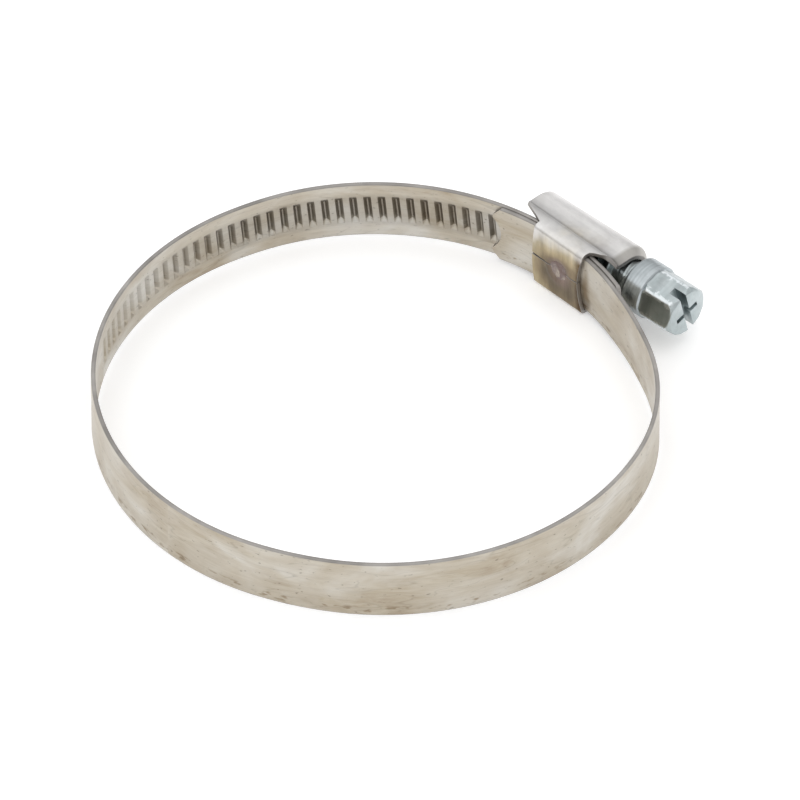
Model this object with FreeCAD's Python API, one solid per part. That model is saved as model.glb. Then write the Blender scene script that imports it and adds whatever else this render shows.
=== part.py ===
import FreeCAD, Part
import math
import os
from FreeCAD import Vector

# Worm-drive hose clamp. Millimetres and degrees.
# Origin: axis of the hose seat, half-way up the band. +Z is the axis of the ring.
# +X points out through the housing. The screw's head is on the -Y side.
# Plan angles run from +X towards +Y, about the centre of the arc they belong to.

# ---- Band strip ----
BAND_WIDTH = 9.0
BAND_THICKNESS = 0.6
SLIDE_GAP = 0.05               # between the two layers of band where one runs on the other
LINK_GAP = 0.05                # butt gap between two lengths of band at a hinge line

# ---- Plan of the ring: each radius is that of the band's inner face ----
THREAD_CENTRE = Vector(1.56, 0, 0)
THREADED_RADIUS = 35.025       # threaded end, an arc about THREAD_CENTRE
SEAT_CENTRE = Vector(0.31, 0, 0)
SEAT_RADIUS = 35.38            # far side, where a hose of the largest size seats
SEAT_END = -158.0
SHALLOW_RADIUS = 45.0          # joins the far side to the long side arc
SHALLOW_END = -146.0
SIDE_RADIUS = 36.0             # long arc on the screw-head side
BLEND_RADIUS = 49.0            # joins the threaded arc to the far side
LEAVING_RADIUS = 66.0          # fixed end, as it leaves from under the tail
LEAVING_START = -16.0
RETURN_RADIUS = 28.5           # brings the fixed end back to the long side arc
FLAT_ANGLE = 8.0               # the fixed end is flat in the housing between plus and minus this
TONGUE_TIP = 19.4
TAIL_TIP = -18.8

# ---- Lengths of band between hinge lines ----
SIDE_LENGTHS = 7
FIRST_SIDE_HINGE = 1.3         # beyond the flat, under the tail
THREADED_END_PITCHES = 30
PITCHES_PER_LENGTH = 6
FREE_SIDE_LENGTHS = 6
THREADED_PITCHES = 47          # pressed ridges, counted from the tail

# ---- Screw: lengths along its axis from the point nearest THREAD_CENTRE ----
SCREW_TILT = 2.7               # the head end leans outward, away from the band
LEAD = 1.92
THREAD_RADIUS = 3.25
THREAD_ROOT_RADIUS = 2.45
THREAD_CREST = 0.32
THREAD_ROOT_WIDTH = 0.8
CREST_CLEARANCE = 0.075        # from the screw's crests to the band's outer face
THREAD_FROM = -8.2
THREAD_TO = 5.2
THREAD_RUNOUT = 0.5            # plain core past each end of the thread
TIP_RADIUS = 2.1
TIP_TO = 6.2
TIP_CHAMFER = 0.45
COLLAR_RADIUS = 3.75
COLLAR_FROM = -14.1
COLLAR_TO = -10.95
COLLAR_CHAMFER = 0.2
COLLAR_BACK_RADIUS = 2.75      # small end of the cone that faces the dome's lip
COLLAR_BACK_TO = -10.05
HEX_ACROSS_FLATS = 6.8
HEX_FROM = -19.45
HEX_TURNED_RADIUS = 3.82       # the hexagon's corners are turned to this
HEX_END_RADIUS = 3.3
HEX_CHAMFER = 0.5
SLOT_WIDTH = 1.1
SLOT_DEPTH = 1.95
CROSS_WIDTH = 0.75
CROSS_LENGTH = 3.9
CROSS_DEPTH = 1.2
HEAD_TURN = 76.0               # of the head about the screw's axis, at rest

# ---- Thread pressed into the band ----
PITCH_HEIGHT = 0.225           # pitch line above the band's outer face
RIDGE_LENGTH = 4.65
RIDGE_WIDTH = 0.9
RIDGE_TOP_WIDTH = 0.35
RIDGE_HEIGHT = 0.38
RIDGE_HIP = 0.68               # run of the slope at each end of a ridge
RIDGE_ROOT = 0.1               # how far a ridge or pocket starts beyond the band's face
POCKET_DEPTH = 0.54
POCKET_INSET = 0.1             # a pocket is smaller than its ridge by this all round

# ---- Housing ----
SHEET = 0.6
BELLY_FROM = -4.4
BELLY_TO = 4.75
DOME_FROM = -7.6
DOME_KNEE = -6.0               # the dome turns down to its lip here
DOME_TO = 8.8
DOME_INNER_RADIUS = 3.5
LIP_INNER_RADIUS = 3.3
LIP_DROP = 0.6                 # the lip's centre lies this far inside the screw's axis
EDGE_CLEARANCE = 0.06
SHOULDER_X = 37.4              # inside of the bend beside the threaded band
SHOULDER_RADIUS = 0.35
VALLEY_X = 37.7
VALLEY_RADIUS = 0.9
SEAM_GAP = 0.1
WINDOW_X = 36.4                # the sides are cut back from here, beyond the belly
TIP_WINDOW = 4.0               # length of the cut-back at the tip end
HEAD_WINDOW = 3.1              # the same at the head end
DOME_EDGE_X = 38.2             # lower edge of the dome at its ends

# ---- Tongue and tail ----
NOTCH_DEPTH = 1.45
NOTCH_HALF_WIDTH = 2.9
HORN_CHAMFER = 1.35
TAIL_CORNER = 0.7

# ---- Spot weld ----
WELD_RADIUS = 1.45
WELD_DIMPLE = 0.1

HALF_WIDTH = BAND_WIDTH / 2
FIXED_RADIUS = THREADED_RADIUS - SLIDE_GAP - BAND_THICKNESS
PITCH_OFFSET = BAND_THICKNESS + PITCH_HEIGHT
SCREW_OUT = THREADED_RADIUS + BAND_THICKNESS + CREST_CLEARANCE + THREAD_RADIUS
BELLY_X = THREAD_CENTRE.x + FIXED_RADIUS * math.cos(math.radians(FLAT_ANGLE))
HELIX_SLANT = math.degrees(math.atan(LEAD / (2 * math.pi * THREAD_RADIUS)))
CUT = 1.0                      # how far a cutting tool runs past the metal
ALONG_Y = Vector(0, 1, 0)
ALONG_Z = Vector(0, 0, 1)


# ---- Plan curves: a path is a list of arcs (centre, radius, start, end) ----

def plan(angle):
    """Unit vector at a plan angle."""
    return Vector(math.cos(math.radians(angle)), math.sin(math.radians(angle)), 0)


def plan_angle(vector):
    return math.degrees(math.atan2(vector.y, vector.x))


def circles_meet(first, first_radius, second, second_radius):
    """The point at the given distances from two centres, to the right of the line between them."""
    line = second - first
    span = line.Length
    along = (first_radius ** 2 - second_radius ** 2 + span ** 2) / (2 * span)
    aside = math.sqrt(first_radius ** 2 - along ** 2)
    ahead = line / span
    return first + ahead * along + Vector(ahead.y, -ahead.x, 0) * aside


def side_path():
    """Inner face from the housing round the screw-head side to the far point."""
    leaving = THREAD_CENTRE - plan(LEAVING_START) * (LEAVING_RADIUS - FIXED_RADIUS)
    shallow = SEAT_CENTRE - plan(SEAT_END) * (SHALLOW_RADIUS - SEAT_RADIUS)
    side = shallow + plan(SHALLOW_END) * (SHALLOW_RADIUS - SIDE_RADIUS)
    back = circles_meet(leaving, LEAVING_RADIUS - RETURN_RADIUS, side, SIDE_RADIUS - RETURN_RADIUS)
    leaving_end = plan_angle(back - leaving)
    return_end = plan_angle(back - side)
    return [(THREAD_CENTRE, FIXED_RADIUS, -FLAT_ANGLE, LEAVING_START),
            (leaving, LEAVING_RADIUS, LEAVING_START, leaving_end),
            (back, RETURN_RADIUS, leaving_end, return_end),
            (side, SIDE_RADIUS, return_end, SHALLOW_END),
            (shallow, SHALLOW_RADIUS, SHALLOW_END, SEAT_END),
            (SEAT_CENTRE, SEAT_RADIUS, SEAT_END, -180.0)]


def free_path():
    """Inner face from the tip of the tail, through the housing, round to the far point."""
    blend = circles_meet(SEAT_CENTRE, BLEND_RADIUS - SEAT_RADIUS,
                         THREAD_CENTRE, BLEND_RADIUS - THREADED_RADIUS)
    blend_start = plan_angle(THREAD_CENTRE - blend)
    blend_end = plan_angle(SEAT_CENTRE - blend)
    return [(THREAD_CENTRE, THREADED_RADIUS, TAIL_TIP, blend_start),
            (blend, BLEND_RADIUS, blend_start, blend_end),
            (SEAT_CENTRE, SEAT_RADIUS, blend_end, 180.0)]


def arc_length(arc, offset):
    centre, radius, start, end = arc
    return (radius + offset) * math.radians(abs(end - start))


def path_length(path, offset=0.0):
    return sum(arc_length(arc, offset) for arc in path)


def stretch(path, begin, end, offset=0.0):
    """The part of a path between two distances along it, measured at an offset from its face."""
    pieces = []
    passed = 0.0
    for arc in path:
        centre, radius, first, last = arc
        length = arc_length(arc, offset)
        low = max(begin - passed, 0.0) / length
        high = min((end - passed) / length, 1.0)
        if high > low:
            turn = last - first
            pieces.append((centre, radius, first + low * turn, first + high * turn))
        passed += length
    return pieces


def place_on(path, distance, offset=0.0):
    """Point on the inner face, and the outward direction there, at a distance along a path."""
    centre, radius, first, last = stretch(path, 0.0, distance, offset)[-1]
    outward = plan(last)
    return centre + outward * radius, outward


# ---- Solids from outlines ----

def arc_edge(centre, radius, start, end):
    middle = (start + end) / 2
    points = [centre + plan(angle) * radius for angle in (start, middle, end)]
    return Part.Arc(*points).toShape()


def strip(pieces):
    """Band of full width along arcs; arcs that don't meet are joined by flats."""
    inner = [arc_edge(centre, radius, start, end) for centre, radius, start, end in pieces]
    outer = [arc_edge(centre, radius + BAND_THICKNESS, start, end) for centre, radius, start, end in pieces]
    edges = list(inner)
    for face in (inner, outer):
        for one, other in zip(face, face[1:]):
            gap_from = one.lastVertex().Point
            gap_to = other.firstVertex().Point
            if gap_from.distanceToPoint(gap_to) > LINK_GAP:
                edges.append(Part.makeLine(gap_from, gap_to))
    edges += outer
    edges.append(Part.makeLine(inner[0].firstVertex().Point, outer[0].firstVertex().Point))
    edges.append(Part.makeLine(inner[-1].lastVertex().Point, outer[-1].lastVertex().Point))
    outline = Part.Wire(Part.__sortEdges__(edges))
    outline.translate(Vector(0, 0, -HALF_WIDTH))
    return Part.Face(outline).extrude(Vector(0, 0, BAND_WIDTH))


def rounded_line(corners, radii):
    """Edges of an open line through corners, each rounded to its radius, or sharp at 0."""
    edges = []
    start = corners[0]
    for before, corner, after, radius in zip(corners, corners[1:], corners[2:], radii):
        if radius == 0:
            edges.append(Part.makeLine(start, corner))
            start = corner
            continue
        arrive = (before - corner).normalize()
        leave = (after - corner).normalize()
        half = arrive.getAngle(leave) / 2
        run = radius / math.tan(half)
        middle = (arrive + leave).normalize() * (radius / math.sin(half) - radius)
        edges.append(Part.makeLine(start, corner + arrive * run))
        edges.append(Part.Arc(corner + arrive * run, corner + middle, corner + leave * run).toShape())
        start = corner + leave * run
    edges.append(Part.makeLine(start, corners[-1]))
    return edges


def local_frame(point, outward, slant=0.0):
    """Placement with x along the band, y outward and z up; slant leans z towards the tip end."""
    turn = FreeCAD.Rotation(ALONG_Z, plan_angle(outward) - 90)
    lean = FreeCAD.Rotation(ALONG_Y, -slant)
    return FreeCAD.Placement(point, turn.multiply(lean))


# ---- Band ----

def hip_block(width, top_width, length, height, hip, placement, base):
    """Block with sloping sides and ends, such as a pressed ridge."""
    half = length / 2
    block = Part.makeWedge(-width / 2, base, -half, -half + hip, -top_width / 2,
                           width / 2, height, half, half - hip, top_width / 2)
    block.Placement = placement
    return block


def press_thread(band, path, first, last):
    """Presses ridges number first to last - 1 into a length of band."""
    ridges = []
    pockets = []
    for number in range(first, last):
        point, outward = place_on(path, (number + 0.5) * LEAD, PITCH_OFFSET)
        outer = local_frame(point + outward * BAND_THICKNESS, outward, HELIX_SLANT)
        inner = local_frame(point, outward, HELIX_SLANT)
        ridges.append(hip_block(RIDGE_WIDTH, RIDGE_TOP_WIDTH, RIDGE_LENGTH, RIDGE_HEIGHT, RIDGE_HIP,
                                outer, -RIDGE_ROOT))
        pockets.append(hip_block(RIDGE_WIDTH - 2 * POCKET_INSET, RIDGE_TOP_WIDTH - POCKET_INSET,
                                 RIDGE_LENGTH - 2 * POCKET_INSET, POCKET_DEPTH, RIDGE_HIP,
                                 inner, -RIDGE_ROOT))
    if not ridges:
        return band
    return band.fuse(ridges).cut(pockets)


def fixed_end(path):
    """Plain end: tongue, flat through the housing, and the first stretch under the tail."""
    tongue = (THREAD_CENTRE, FIXED_RADIUS, TONGUE_TIP, FLAT_ANGLE)
    band = strip([tongue] + stretch(path, 0.0, FIRST_SIDE_HINGE - LINK_GAP / 2))
    outward = plan(TONGUE_TIP)
    tip = local_frame(THREAD_CENTRE + outward * FIXED_RADIUS, outward)
    notch_radius = (NOTCH_HALF_WIDTH ** 2 + NOTCH_DEPTH ** 2) / (2 * NOTCH_DEPTH)
    notch = Part.makeCylinder(notch_radius, BAND_THICKNESS + 2 * CUT,
                              Vector(NOTCH_DEPTH - notch_radius, -CUT, 0), ALONG_Y)
    notch.Placement = tip.multiply(notch.Placement)
    cutters = [notch]
    for side in (-1, 1):
        corner = Part.makePolygon([Vector(0, -CUT, side * NOTCH_HALF_WIDTH),
                                   Vector(HORN_CHAMFER, -CUT, side * HALF_WIDTH),
                                   Vector(HORN_CHAMFER, -CUT, side * (HALF_WIDTH + CUT)),
                                   Vector(-CUT, -CUT, side * (HALF_WIDTH + CUT)),
                                   Vector(-CUT, -CUT, side * NOTCH_HALF_WIDTH),
                                   Vector(0, -CUT, side * NOTCH_HALF_WIDTH)])
        cutter = Part.Face(corner).extrude(Vector(0, BAND_THICKNESS + 2 * CUT, 0))
        cutter.Placement = tip.multiply(cutter.Placement)
        cutters.append(cutter)
    return band.cut(cutters)


def round_tail(band):
    """Rounds the two corners of the free end."""
    outward = plan(TAIL_TIP)
    middle = THREAD_CENTRE + outward * (THREADED_RADIUS + BAND_THICKNESS / 2)
    corners = [middle + ALONG_Z * (side * HALF_WIDTH) for side in (-1, 1)]
    edges = [edge for edge in band.Edges
             if min(edge.CenterOfMass.distanceToPoint(corner) for corner in corners) < LINK_GAP]
    return band.makeFillet(TAIL_CORNER, edges)


def side_lengths(path):
    """Lengths of band on the screw-head side, from the housing to the far point."""
    step = (path_length(path) - FIRST_SIDE_HINGE) / SIDE_LENGTHS
    lengths = []
    for number in range(SIDE_LENGTHS):
        begin = FIRST_SIDE_HINGE + number * step + LINK_GAP / 2
        lengths.append(strip(stretch(path, begin, begin + step - LINK_GAP)))
    return lengths


def free_lengths(path):
    """Threaded end, then the lengths that follow it round to the far point."""
    whole = path_length(path, PITCH_OFFSET)
    joints = [0.0]
    joints += [LEAD * (THREADED_END_PITCHES + number * PITCHES_PER_LENGTH)
               for number in range(FREE_SIDE_LENGTHS)]
    joints.append(whole)
    lengths = []
    for number, (begin, end) in enumerate(zip(joints, joints[1:])):
        trim = 0.0 if number == 0 else LINK_GAP / 2
        band = strip(stretch(path, begin + trim, end - LINK_GAP / 2, PITCH_OFFSET))
        if number == 0:
            band = round_tail(band)
        first = round(begin / LEAD)
        last = min(round(end / LEAD), THREADED_PITCHES)
        lengths.append(press_thread(band, path, first, last))
    return lengths


# ---- Screw: built with its axis parallel to Y, in a frame centred on THREAD_CENTRE ----

def turned(radius, begin, end):
    """Cylinder on the screw's axis."""
    return Part.makeCylinder(radius, end - begin, Vector(SCREW_OUT, begin, 0), ALONG_Y)


def screw_thread():
    """Right-hand thread whose crests lie midway between the band's ridges."""
    crest_at = math.radians(TAIL_TIP - SCREW_TILT) * (THREADED_RADIUS + PITCH_OFFSET)
    start = crest_at - LEAD / 2
    while start > THREAD_FROM - LEAD:
        start -= LEAD
    height = THREAD_TO - start + LEAD
    helix = Part.makeHelix(LEAD, height, THREAD_ROOT_RADIUS)
    root = THREAD_ROOT_RADIUS - RIDGE_ROOT
    tooth = Part.makePolygon([Vector(root, 0, -THREAD_ROOT_WIDTH / 2),
                              Vector(THREAD_RADIUS, 0, -THREAD_CREST / 2),
                              Vector(THREAD_RADIUS, 0, THREAD_CREST / 2),
                              Vector(root, 0, THREAD_ROOT_WIDTH / 2),
                              Vector(root, 0, -THREAD_ROOT_WIDTH / 2)])
    ridge = Part.Wire(helix).makePipeShell([Part.Wire(tooth)], True, True)
    ridge.Placement = FreeCAD.Placement(Vector(SCREW_OUT, start, 0), FreeCAD.Rotation(Vector(1, 0, 0), -90))
    return ridge.common(turned(THREAD_RADIUS + CUT, THREAD_FROM, THREAD_TO))


def screw_head():
    """Round collar with a conical back, and slotted hexagon."""
    collar = turned(COLLAR_RADIUS, COLLAR_FROM, COLLAR_TO)
    collar = collar.makeChamfer(COLLAR_CHAMFER, [edge for edge in collar.Edges if edge.Closed])
    back = Part.makeCone(COLLAR_RADIUS - COLLAR_CHAMFER, COLLAR_BACK_RADIUS, COLLAR_BACK_TO - COLLAR_TO,
                         Vector(SCREW_OUT, COLLAR_TO, 0), ALONG_Y)
    corner = HEX_ACROSS_FLATS / math.sqrt(3)
    corners = [Vector(SCREW_OUT + corner * math.cos(math.radians(60 * number + 30)), HEX_FROM,
                      corner * math.sin(math.radians(60 * number + 30))) for number in range(7)]
    hexagon = Part.Face(Part.makePolygon(corners)).extrude(Vector(0, COLLAR_FROM - HEX_FROM, 0))
    point = Part.makeCone(HEX_END_RADIUS, HEX_TURNED_RADIUS, HEX_CHAMFER,
                          Vector(SCREW_OUT, HEX_FROM, 0), ALONG_Y)
    hexagon = hexagon.common(point.fuse(turned(HEX_TURNED_RADIUS, HEX_FROM + HEX_CHAMFER, COLLAR_FROM)))
    slot = Part.makeBox(2 * corner, SLOT_DEPTH + CUT, SLOT_WIDTH,
                        Vector(SCREW_OUT - corner, HEX_FROM - CUT, -SLOT_WIDTH / 2))
    cross = Part.makeBox(CROSS_WIDTH, CROSS_DEPTH + CUT, CROSS_LENGTH,
                         Vector(SCREW_OUT - CROSS_WIDTH / 2, HEX_FROM - CUT, -CROSS_LENGTH / 2))
    head = collar.fuse([back, hexagon]).cut([slot, cross])
    head.rotate(Vector(SCREW_OUT, 0, 0), ALONG_Y, HEAD_TURN)
    return head


def screw():
    core = turned(THREAD_ROOT_RADIUS, COLLAR_TO - THREAD_RUNOUT, THREAD_TO + THREAD_RUNOUT)
    tip = turned(TIP_RADIUS, THREAD_TO, TIP_TO)
    rim = [edge for edge in tip.Edges if edge.Closed and edge.CenterOfMass.y > TIP_TO - LINK_GAP]
    tip = tip.makeChamfer(TIP_CHAMFER, rim)
    whole = core.fuse(screw_thread()).fuse([tip, screw_head()])
    whole.rotate(Vector(), ALONG_Z, SCREW_TILT)
    whole.translate(THREAD_CENTRE)
    return whole


# ---- Housing ----

def housing_section(y, radius, drop):
    """Closed outline of the wrapped sheet; the dome's centre lies inside the screw's axis by drop."""
    side = HALF_WIDTH + EDGE_CLEARANCE
    tilt = math.radians(SCREW_TILT)
    spring = THREAD_CENTRE.x + (SCREW_OUT - y * math.sin(tilt)) / math.cos(tilt) - drop
    half = [Vector(BELLY_X, y, SEAM_GAP / 2), Vector(BELLY_X, y, side), Vector(SHOULDER_X, y, side),
            Vector(VALLEY_X, y, radius), Vector(spring, y, radius)]
    radii = [0, SHOULDER_RADIUS, VALLEY_RADIUS]
    upper = rounded_line(half, radii)
    lower = rounded_line([Vector(corner.x, corner.y, -corner.z) for corner in half], radii)
    crown = Part.Arc(half[-1], Vector(spring + radius, y, 0), Vector(spring, y, -radius)).toShape()
    inside = Part.Wire(Part.__sortEdges__(upper + [crown] + lower))
    sheet = inside.makeOffset2D(SHEET, 0, True, True)
    return sheet.Faces[0].OuterWire


def end_window(belly_end, window, direction):
    """Tool that cuts the belly and the sides away beyond one end of the belly."""
    below = BELLY_X - SHEET - CUT
    far = belly_end + direction * (window + CUT)
    outline = rounded_line([Vector(below, belly_end, 0),
                            Vector(WINDOW_X, belly_end, 0),
                            Vector(DOME_EDGE_X, belly_end + direction * window, 0),
                            Vector(DOME_EDGE_X, far, 0)],
                           [VALLEY_RADIUS, VALLEY_RADIUS])
    outline.append(Part.makeLine(Vector(DOME_EDGE_X, far, 0), Vector(below, far, 0)))
    outline.append(Part.makeLine(Vector(below, far, 0), Vector(below, belly_end, 0)))
    face = Part.Face(Part.Wire(Part.__sortEdges__(outline)))
    face.translate(Vector(0, 0, -BAND_WIDTH))
    return face.extrude(Vector(0, 0, 2 * BAND_WIDTH))


def housing():
    sections = [housing_section(DOME_TO, DOME_INNER_RADIUS, 0),
                housing_section(DOME_KNEE, DOME_INNER_RADIUS, 0),
                housing_section(DOME_FROM, LIP_INNER_RADIUS, LIP_DROP)]
    shell = Part.makeLoft(sections, True, True)
    return shell.cut([end_window(BELLY_TO, TIP_WINDOW, 1),
                      end_window(BELLY_FROM, HEAD_WINDOW, -1),
                      weld_nugget(SHEET + CUT)])


def weld_nugget(depth):
    """Cylinder at the weld, from the band's face to depth inside the ring."""
    return Part.makeCylinder(WELD_RADIUS, depth, Vector(BELLY_X - depth, 0, 0), Vector(1, 0, 0))


def save(shape, name):
    shape.exportStep(os.path.join("parts", name + ".step"))


def main():
    os.makedirs("parts", exist_ok=True)
    side = side_path()
    free = free_path()
    save(fixed_end(side), "band_fixed_end")
    for number, length in enumerate(side_lengths(side), 1):
        save(length, "band_head_side_%d" % number)
    threaded, *rest = free_lengths(free)
    save(threaded, "band_threaded_end")
    for number, length in enumerate(rest, 1):
        save(length, "band_tip_side_%d" % number)
    save(housing(), "housing")
    save(weld_nugget(SHEET - WELD_DIMPLE), "spot_weld")
    save(screw(), "screw")


main()
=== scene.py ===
import math

import bmesh
import bpy
import numpy as np
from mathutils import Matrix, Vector


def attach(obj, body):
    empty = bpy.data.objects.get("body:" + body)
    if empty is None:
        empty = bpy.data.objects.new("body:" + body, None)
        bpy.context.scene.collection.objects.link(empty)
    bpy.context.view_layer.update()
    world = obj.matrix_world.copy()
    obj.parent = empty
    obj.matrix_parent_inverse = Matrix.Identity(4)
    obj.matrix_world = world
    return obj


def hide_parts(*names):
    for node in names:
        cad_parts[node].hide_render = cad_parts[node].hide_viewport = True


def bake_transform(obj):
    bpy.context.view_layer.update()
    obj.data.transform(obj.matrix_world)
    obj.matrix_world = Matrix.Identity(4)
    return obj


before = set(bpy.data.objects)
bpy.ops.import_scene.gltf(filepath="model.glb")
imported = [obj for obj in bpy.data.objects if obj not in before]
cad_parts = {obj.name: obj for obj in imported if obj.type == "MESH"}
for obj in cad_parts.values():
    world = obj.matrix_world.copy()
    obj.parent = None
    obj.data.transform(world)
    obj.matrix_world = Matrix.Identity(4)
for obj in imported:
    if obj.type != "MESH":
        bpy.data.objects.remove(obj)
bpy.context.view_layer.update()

# Looks of the worm-drive hose clamp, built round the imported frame.
# Sizes are in millimetres here and become metres when a mesh is made.
MM = 0.001

# ---- Band, as in the CAD source ----
WIDTH = 9.0
THICKNESS = 0.6
SLIDE_GAP = 0.05
THREAD_CENTRE = np.array([1.56, 0.0])
THREADED_RADIUS = 35.025
SEAT_CENTRE = np.array([0.31, 0.0])
SEAT_RADIUS = 35.38
SEAT_END = -158.0
SHALLOW_RADIUS = 45.0
SHALLOW_END = -146.0
SIDE_RADIUS = 36.0
BLEND_RADIUS = 49.0
LEAVING_RADIUS = 66.0
LEAVING_START = -16.0
RETURN_RADIUS = 28.5
FLAT_ANGLE = 8.0
TONGUE_TIP = 19.4
TAIL_TIP = -18.8
SIDE_LENGTHS = 7
FIRST_SIDE_HINGE = 1.3
THREADED_END_PITCHES = 30
PITCHES_PER_LENGTH = 6
FREE_LENGTHS = 6
THREADED_PITCHES = 47
LEAD = 1.92
PITCH_OFFSET = THICKNESS + 0.225
FIXED_RADIUS = THREADED_RADIUS - SLIDE_GAP - THICKNESS
THREAD_RADIUS = 3.25
HELIX_SLANT = LEAD / (2 * math.pi * THREAD_RADIUS)
TAIL_CORNER = 0.7
NOTCH_DEPTH = 1.45
NOTCH_HALF_WIDTH = 2.9
HORN_DEPTH = 1.35
HORN_WIDTH = 1.6
TONGUE_SHAPED_OVER = 4.0
SLANT_RUNOUT = 4.0
NOT_POCKETED = 3.0      # added to the height in the strip map wherever a face has no pockets

# ---- Pressed thread ----
POCKET_HALF_LENGTH = 2.3
POCKET_HALF_WIDTH = 0.53
POCKET_FLOOR_HALF_WIDTH = 0.1
POCKET_DEPTH = 0.52
RIDGE_HALF_LENGTH = 2.3
RIDGE_HALF_WIDTH = 0.5
RIDGE_TOP_HALF_WIDTH = 0.16
RIDGE_HEIGHT = 0.36
HIP = 0.75

# ---- Screw and housing ----
SCREW_TILT = math.radians(2.7)
SCREW_OUT = 38.95
SHEET = 0.6
SIDE_GAP = 0.06
BELLY_X = 35.6005
BELLY_ENDS = (-4.4, 4.75)
DOME_ENDS = (-7.6, 8.8)
KNEE = -6.5
SHOULDER_X = 37.4
VALLEY_X = 38.25
DOME_RADIUS = 3.5
LIP_RADIUS = 2.8
LIP_DROP = 0.28
LIP_FROM_X = 37.0


# ---- Materials ----

def plain_material(name):
    """New material, with its node tree and its shader."""
    material = bpy.data.materials.new(name)
    material.use_nodes = True
    tree = material.node_tree
    shader = tree.nodes["Principled BSDF"]
    return material, tree, shader


def fill(tree, made, sockets):
    """Links each socket, named or numbered, to an output, or sets it to a number, vector or colour."""
    for key, value in sockets.items():
        if isinstance(value, bpy.types.NodeSocket):
            tree.links.new(value, made.inputs[key])
        else:
            made.inputs[key].default_value = value


def node(tree, kind, sockets, **settings):
    """New node with its settings and sockets."""
    made = tree.nodes.new("ShaderNode" + kind)
    for key, value in settings.items():
        setattr(made, key, value)
    fill(tree, made, sockets)
    return made


def noise(tree, vector, stretch, scale, detail, rough, distortion=0.0):
    """Noise between 0 and 1, on a vector multiplied axis by axis."""
    place = node(tree, "Mapping", {"Vector": vector, "Scale": stretch}).outputs["Vector"]
    return node(tree, "TexNoise", {"Vector": place, "Scale": scale, "Detail": detail,
                                   "Roughness": rough, "Distortion": distortion}).outputs["Fac"]


def ramp(tree, value, stops):
    """Colour ramp; stops are (position, colour), where one number is a grey."""
    made = node(tree, "ValToRGB", {"Fac": value})
    bar = made.color_ramp
    while len(bar.elements) < len(stops):
        bar.elements.new(0.5)
    for element, (position, colour) in zip(bar.elements, stops):
        element.position = position
        element.color = (*np.broadcast_to(colour, 3), 1.0)
    return made.outputs["Color"]


def mixed(tree, factor, first, second, blend="MIX"):
    """Mix of two colours, each a colour or an output."""
    first, second = [(*c, 1.0) if isinstance(c, tuple) else c for c in (first, second)]
    return node(tree, "Mix", {0: factor, 6: first, 7: second},
                data_type="RGBA", blend_type=blend).outputs[2]


def multiplied(tree, colour, by, share=1.0):
    """A colour multiplied by another, over a share of the surface."""
    return mixed(tree, share, colour, by, "MULTIPLY")


def maths(tree, operation, *operands, kind="Math"):
    """Result of a sum; each operand is a number, a vector or an output."""
    made = node(tree, kind, dict(enumerate(operands)), operation=operation)
    return made.outputs["Value" if operation == "LENGTH" else 0]


def mapped(tree, value, low, high):
    """A value between 0 and 1 spread between low and high."""
    return maths(tree, "MULTIPLY_ADD", value, high - low, low)


def axes(tree, vector):
    """The X, Y and Z outputs of a vector."""
    return node(tree, "SeparateXYZ", {0: vector}).outputs


def object_place(tree):
    """Place in the frame, in metres."""
    return node(tree, "TexCoord", {}).outputs["Object"]


def set_metal(tree, shader, colour, rough):
    """Bare metal of a colour output and a roughness output."""
    fill(tree, shader, {"Base Color": colour, "Metallic": 1.0, "Roughness": rough})


def set_bump(tree, shader, height, strength, distance):
    """Surface relief from a height output; distance in millimetres."""
    made = node(tree, "Bump", {"Strength": strength, "Distance": distance * MM, "Height": height})
    fill(tree, shader, {"Normal": made.outputs["Normal"]})


def strip_vector(tree):
    """Distance along the band and height up it, in centimetres, kept in the mesh."""
    return node(tree, "UVMap", {}, uv_map="strip").outputs["UV"]


def pocket_shade_marks(tree, strip):
    """Painted shade in the pressed pockets above their lower ends, and a darker band over the rolled zone;
    the pockets' lower-end facets are left out of both, so they stay lighter as a painted highlight.
    """
    distance, height, _ = axes(tree, strip)
    up = maths(tree, "ABSOLUTE", height)
    inside = maths(tree, "LESS_THAN", up, 1.0)
    pitch = maths(tree, "FRACT", maths(tree, "MULTIPLY", distance, 10.0 / LEAD))
    aside = maths(tree, "ABSOLUTE", maths(tree, "SUBTRACT", pitch, 0.5))
    across = ramp(tree, aside, [(0.22, 1.0), (0.29, 0.0)])
    along = ramp(tree, up, [(0.205, 1.0), (0.245, 0.0)])
    zone = ramp(tree, up, [(0.22, 1.0), (0.30, 0.0)])
    raised = maths(tree, "ADD", height, 0.5)
    low_end = ramp(tree, raised, [(0.342, 0.0), (0.35, 1.0)])
    fading = ramp(tree, maths(tree, "MULTIPLY", distance, 0.1), [(0.58, 1.0), (0.76, 0.35)])
    used = maths(tree, "MULTIPLY", inside, fading)
    pocket = maths(tree, "MULTIPLY", maths(tree, "MULTIPLY", across, along), used)
    # the pockets' lower-end facets are kept out of the painted shade, so they stay lighter: a painted
    # highlight
    facet = maths(tree, "MULTIPLY", pocket, maths(tree, "SUBTRACT", 1.0, low_end))
    zone = maths(tree, "MULTIPLY", zone, maths(tree, "SUBTRACT", used, facet))
    return zone, maths(tree, "MULTIPLY", pocket, low_end)


def spots_near_edge(tree, strip):
    """Row of dark scuffs near the lower edge of the outer face."""
    height = axes(tree, strip)[1]
    away = maths(tree, "ABSOLUTE", maths(tree, "SUBTRACT", height, NOT_POCKETED - 0.345))
    row = ramp(tree, away, [(0.03, 1.0), (0.07, 0.0)])
    spots = noise(tree, strip, (2.4, 6.0, 1.0), 2.0, 2.0, 0.6)
    return maths(tree, "MULTIPLY", row, ramp(tree, spots, [(0.54, 0.0), (0.64, 1.0)]))


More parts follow.
